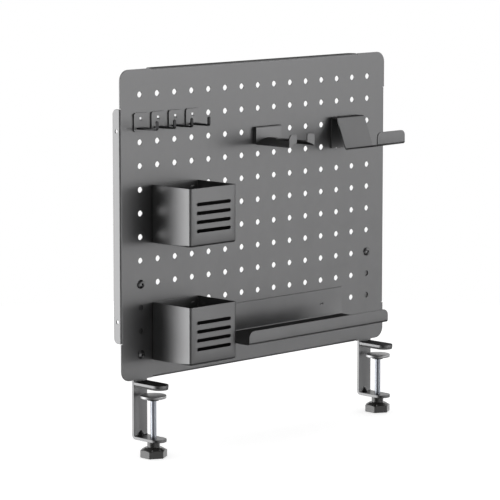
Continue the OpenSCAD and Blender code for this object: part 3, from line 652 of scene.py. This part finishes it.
ROD_TREE = rod_tree()
for side in ("left", "right"):
    low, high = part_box(side + "_spindle")
    rod = grow(side + "_rod", ROD_TREE, steel=BRIGHT_STEEL, length=high.z - low.z,
               place=((low.x + high.x) / 2, (low.y + high.y) / 2, (low.z + high.z) / 2))
    rod.data.polygons.foreach_set("use_smooth", [True] * len(rod.data.polygons))
    rod.data.set_sharp_from_angle(angle=math.radians(35))
    show(rod, side + "_spindle", body=side + "_screw")
    size = [max(v.co[i] for v in rod.data.vertices) - min(v.co[i] for v in rod.data.vertices)
            for i in range(3)]
    print(rod.name, len(rod.data.polygons), "faces", [round(v / MM, 2) for v in size],
          "CAD", [round(v / MM, 2) for v in high - low])

# %% [markdown]
# ### Knobs, hubs and pads
#
# The pad's socket and the hub's dome slide on each other when the pad tilts, so nothing there may
# grow. Only the pad's outer rim is rounded much, and the rest keeps nearly sharp edges.

# %% Knobs, hubs and pads
RIM_ROUND = 0.5


def round_rim(bm):
    """Rounds a pad's two outer rims."""
    middle = sum((v.co for v in bm.verts), Vector()) / len(bm.verts)
    reach = max((v.co - middle).xy.length for v in bm.verts)
    rim = [e for e in bm.edges if all((v.co - middle).xy.length > 0.95 * reach for v in e.verts)
           and abs(e.verts[0].co.z - e.verts[1].co.z) < 0.01 * MM]
    bmesh.ops.bevel(bm, geom=rim, offset=RIM_ROUND * MM, segments=4, profile=0.5, affect="EDGES",
                    clamp_overlap=True)


for side in ("left", "right"):
    soft_edged(side + "_grip", side + "_knob", side + "_screw", BLACK_PLASTIC, 0.7, 3, 25)
    soft_edged(side + "_swivel", side + "_swivel_hub", side + "_hub", BLACK_STEEL, 0.06)
    soft_edged(side + "_pressure_plate", side + "_pressure_pad", side + "_pad", PAD_LIT_COAT, 0.04,
               first=round_rim)

# %% [markdown]
# ## Screws, washers and nuts
#
# Four sets fix the clamp brackets through holes of the panel's outer columns. One of each kind is
# copied from the CAD, its edges are rounded, and a tree sets it on the four places.

# %% The tree that places fasteners
COLUMNS_APART, ROWS_APART = COLUMNS - 1, 3


def fastener_tree():
    """One part, set on the four corners of a rectangle."""
    tree = bpy.data.node_groups.new("fastener_places", "GeometryNodeTree")
    socket(tree, "Part", "INPUT", "NodeSocketObject")
    socket(tree, "Width", "INPUT", "NodeSocketFloat", COLUMNS_APART * PITCH * MM)
    socket(tree, "Height", "INPUT", "NodeSocketFloat", ROWS_APART * PITCH * MM)
    socket(tree, "Centre", "INPUT", "NodeSocketVector")
    socket(tree, "Metal", "INPUT", "NodeSocketMaterial")
    socket(tree, "Mesh", "OUTPUT", "NodeSocketGeometry")
    given = put(tree, "NodeGroupInput").outputs
    part = put(tree, "GeometryNodeObjectInfo", {"Object": given["Part"]}).outputs["Geometry"]
    places = put(tree, "GeometryNodeMeshGrid", {
        "Size X": given["Width"], "Size Y": given["Height"], "Vertices X": 2, "Vertices Y": 2})
    upright = put(tree, "GeometryNodeTransform", {
        "Geometry": places.outputs["Mesh"], "Rotation": (math.pi / 2, 0.0, 0.0),
        "Translation": given["Centre"]}).outputs["Geometry"]
    placed = put(tree, "GeometryNodeInstanceOnPoints", {
        "Points": upright, "Instance": part}).outputs["Instances"]
    real = put(tree, "GeometryNodeRealizeInstances", {"Geometry": placed}).outputs["Geometry"]
    coated = put(tree, "GeometryNodeSetMaterial", {
        "Geometry": real, "Material": given["Metal"]}).outputs["Geometry"]
    put(tree, "NodeGroupOutput", {"Mesh": coated})
    return tree


# %% [markdown]
# ### One of each kind
#
# The four sets are bought parts and all the same, so one of each is dressed. It is moved to the
# middle, the tree puts it back on its four places, and the single one is taken out of the scene.

# %% One fastener of each kind, set on four places
FASTENERS = fastener_tree()


def fasteners(name, node, metal, width):
    """Copies the CAD's fastener nearest the lower left place, and repeats it."""
    low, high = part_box(node)
    start = Vector((low.x, 0, low.z))
    bm = bmesh.new()
    bm.from_mesh(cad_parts[node].data)
    bmesh.ops.remove_doubles(bm, verts=bm.verts, dist=0.01 * MM)
    far = [v for v in bm.verts if (Vector((v.co.x, 0, v.co.z)) - start).length > 2 * PITCH * MM]
    bmesh.ops.delete(bm, geom=far, context="VERTS")
    bmesh.ops.dissolve_limit(bm, angle_limit=math.radians(0.4), verts=bm.verts, edges=bm.edges)
    middle = Vector([(min(v.co[i] for v in bm.verts) + max(v.co[i] for v in bm.verts)) / 2
                     for i in range(3)])
    bmesh.ops.translate(bm, verts=bm.verts, vec=(-middle.x, 0, -middle.z))
    for face in bm.faces:
        face.smooth = True
    mesh = bpy.data.meshes.new(name)
    bm.to_mesh(mesh)
    bm.free()
    single = in_scene(name + "_single", mesh)
    round_edges(single, width)
    settle(single, metal)
    piece = grow(name, FASTENERS, part=single, metal=metal,
                 centre=((low.x + high.x) / 2, 0.0, (low.z + high.z) / 2))
    bpy.data.objects.remove(single)
    print(name, len(piece.data.polygons), "faces")
    show(piece, node, body="board")


fasteners("panel_screws", "bracket_screws", SCREW_BLACK, 0.2)
fasteners("panel_washers", "bracket_washers", BRIGHT_STEEL, 0.12)
fasteners("panel_nuts", "bracket_nuts", BRIGHT_STEEL, 0.2)

# %% [markdown]
# ## Camera
#
# The photograph was taken from the left, a little above, with a long lens. Its place was solved
# from the positions of the panel's holes.

# %% The camera
AZIMUTH, ELEVATION = math.radians(-45.005), math.radians(7.9955)
camera = bpy.data.objects.new("camera", bpy.data.cameras.new("camera"))
bpy.context.scene.collection.objects.link(camera)
camera.data.lens, camera.data.sensor_width = 201.21, 36.0
camera.data.clip_start, camera.data.clip_end = 0.05, 60.0
camera.location = (-2.18321, -2.17021, 0.56218)
back = Vector((math.sin(AZIMUTH) * math.cos(ELEVATION), -math.cos(AZIMUTH) * math.cos(ELEVATION),
               math.sin(ELEVATION)))
camera.rotation_mode = "QUATERNION"
camera.rotation_quaternion = (-back).to_track_quat("-Z", "Y")
bpy.context.scene.camera = camera

# %% [markdown]
# ## Studio
#
# A dark metal coat shows its surroundings more than its own colour, so the surroundings are the
# light. In the photograph the side faces mirror a bright wall at the left rear and the panel
# mirrors a low bright strip at the right front, while the camera's side and the ceiling are dark.
# One group holds that room by direction. The camera itself sees plain white.

# %% The room, by direction
STRIP_FADE = 0.12  # how far the strip's lower and upper edge fade, as a share of the way up


def room_group():
    """How bright the room is in each direction."""
    tree = bpy.data.node_groups.new("studio_room", "ShaderNodeTree")
    for name, value in (("Dim", 0.39), ("Camera side", 0.85), ("Front fill", 0.55),
                        ("Ceiling", 0.65), ("Ground", 0.9), ("Rear wall", 0.7),
                        ("Left wall", 3.45), ("Strip", 4.6), ("Strip low", -0.12),
                        ("Strip high", 0.01), ("Soft box", 1.0)):
        socket(tree, name, "INPUT", "NodeSocketFloat", value)
    socket(tree, "Level", "OUTPUT", "NodeSocketFloat")
    given = put(tree, "NodeGroupInput").outputs
    sky = put(tree, "ShaderNodeTexCoord").outputs["Generated"]
    way = put(tree, "ShaderNodeVectorMath", {0: sky}, operation="NORMALIZE").outputs["Vector"]

    def facing(toward, start, full):
        """How much a direction points toward a place in the room, from 0 to 1."""
        dot = put(tree, "ShaderNodeVectorMath", {0: way, 1: toward}, operation="DOT_PRODUCT")
        return put(tree, "ShaderNodeMapRange", {
            "Value": dot.outputs["Value"], "From Min": start, "From Max": full},
            interpolation_type="SMOOTHSTEP").outputs["Result"]

    height = put(tree, "ShaderNodeSeparateXYZ", {0: way}).outputs["Z"]
    above = put(tree, "ShaderNodeMapRange", {
        "Value": height, "From Min": given["Strip low"],
        "From Max": calc(tree, "ADD", given["Strip low"], STRIP_FADE)}).outputs["Result"]
    below = put(tree, "ShaderNodeMapRange", {
        "Value": height, "From Min": calc(tree, "ADD", given["Strip high"], STRIP_FADE),
        "From Max": given["Strip high"]}).outputs["Result"]
    strip = calc(tree, "MULTIPLY", calc(tree, "MULTIPLY", above, below),
                 facing((0.55, -0.835, 0.0), 0.86, 1.0))
    high = put(tree, "ShaderNodeMapRange", {
        "Value": height, "From Min": 0.05, "From Max": 0.3}).outputs["Result"]
    level = given["Dim"]
    for amount, part in (("Camera side", facing((-0.707, -0.707, 0.1), 0.72, 0.93)),
                         ("Ceiling", high), ("Ground", facing((0.0, 0.0, -1.0), 0.26, 0.5))):
        shade = calc(tree, "SUBTRACT", 1.0, calc(tree, "MULTIPLY", given[amount], part))
        level = calc(tree, "MULTIPLY", level, shade)
    for amount, part in (("Rear wall", facing((0.707, 0.707, 0.0), 0.2, 0.6)),
                         ("Left wall", facing((-0.70, 0.70, -0.1), 0.8, 0.96)),
                         ("Soft box", facing((0.66, -0.58, 0.48), 0.88, 0.96)),
                         ("Front fill", facing((-0.2, -0.93, -0.3), 0.78, 0.95)),
                         ("Strip", strip)):
        level = calc(tree, "ADD", level, calc(tree, "MULTIPLY", given[amount], part))
    put(tree, "NodeGroupOutput", {"Level": level})
    return tree


# %% [markdown]
# ### World, floor and lamp
#
# The room reaches the coat as reflections, and a white floor under the knobs takes what faint
# shadow there is. It glows a little for the camera only, so that it ends in the white background
# without a line. One soft lamp from the upper left gives the knobs and screws their highlights.

# %% World, floor and lamp
def studio_world(lit):
    """The room for mirrored rays, white for the camera, and lit for all other rays."""
    world = bpy.data.worlds.new("studio")
    bpy.context.scene.world = world
    world.use_nodes = True
    tree = world.node_tree
    tree.nodes.clear()
    path = put(tree, "ShaderNodeLightPath").outputs
    room = put(tree, "ShaderNodeGroup", node_tree=room_group()).outputs["Level"]
    mirrored = put(tree, "ShaderNodeMix", {
        "Factor": path["Is Glossy Ray"], 2: lit, 3: room}, data_type="FLOAT").outputs[0]
    seen = put(tree, "ShaderNodeMix", {
        "Factor": path["Is Camera Ray"], 2: mirrored, 3: 1.0}, data_type="FLOAT").outputs[0]
    light = put(tree, "ShaderNodeBackground", {"Color": (1.0, 1.0, 1.0, 1.0), "Strength": seen})
    put(tree, "ShaderNodeOutputWorld", {"Surface": light.outputs[0]})


def soft_lamp(name, place, aim, size, level):
    """A soft lamp. level is how bright its face looks, where 1 is white."""
    lamp = bpy.data.lights.new(name, "AREA")
    lamp.shape, lamp.size, lamp.size_y = "RECTANGLE", size[0], size[1]
    lamp.energy = level * math.pi * size[0] * size[1]
    holder = bpy.data.objects.new(name, lamp)
    bpy.context.scene.collection.objects.link(holder)
    holder.location = place
    holder.rotation_mode = "QUATERNION"
    holder.rotation_quaternion = (Vector(aim) - Vector(place)).to_track_quat("-Z", "Y")
    holder.visible_camera = False


def studio_floor(height, radius, glow_level):
    """A round white sheet. It glows for the camera only, so that only deep shadow shows on it."""
    rim = [(radius * math.cos(a), radius * math.sin(a), height)
           for a in (math.radians(5 * i) for i in range(72))]
    mesh = bpy.data.meshes.new("floor")
    mesh.from_pydata(rim, [], [range(72)])
    floor = in_scene("floor", mesh)
    material = bpy.data.materials.new("floor_paper")
    material.use_nodes = True
    tree = material.node_tree
    tree.nodes.clear()
    seen = put(tree, "ShaderNodeLightPath").outputs["Is Camera Ray"]
    paper = put(tree, "ShaderNodeBsdfPrincipled", {
        "Base Color": (0.8, 0.8, 0.8, 1.0), "Roughness": 1.0, "Specular IOR Level": 0.0,
        "Emission Color": (1.0, 1.0, 1.0, 1.0),
        "Emission Strength": calc(tree, "MULTIPLY", seen, glow_level)})
    put(tree, "ShaderNodeOutputMaterial", {"Surface": paper.outputs[0]})
    mesh.materials.append(material)
    floor.visible_glossy = False
    floor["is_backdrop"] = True


bpy.context.scene.view_settings.view_transform = "Standard"
studio_world(lit=0.6)
studio_floor(height=cad_lo.z - 0.5 * MM, radius=0.95, glow_level=0.65)
soft_lamp("key_lamp", place=(-1.6, -0.9, 1.9), aim=(0.0, 0.0, 0.15), size=(0.9, 0.9), level=1.2)

# %% [markdown]
# ## The boxes
#
# The dressed model is meant to fill the CAD's box, so its box is printed here, as the CAD's box was
# at the start.

# %% The boxes before and after
low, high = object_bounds()
print("visual box in mm", [round(v / MM, 1) for v in (*low, *high)])
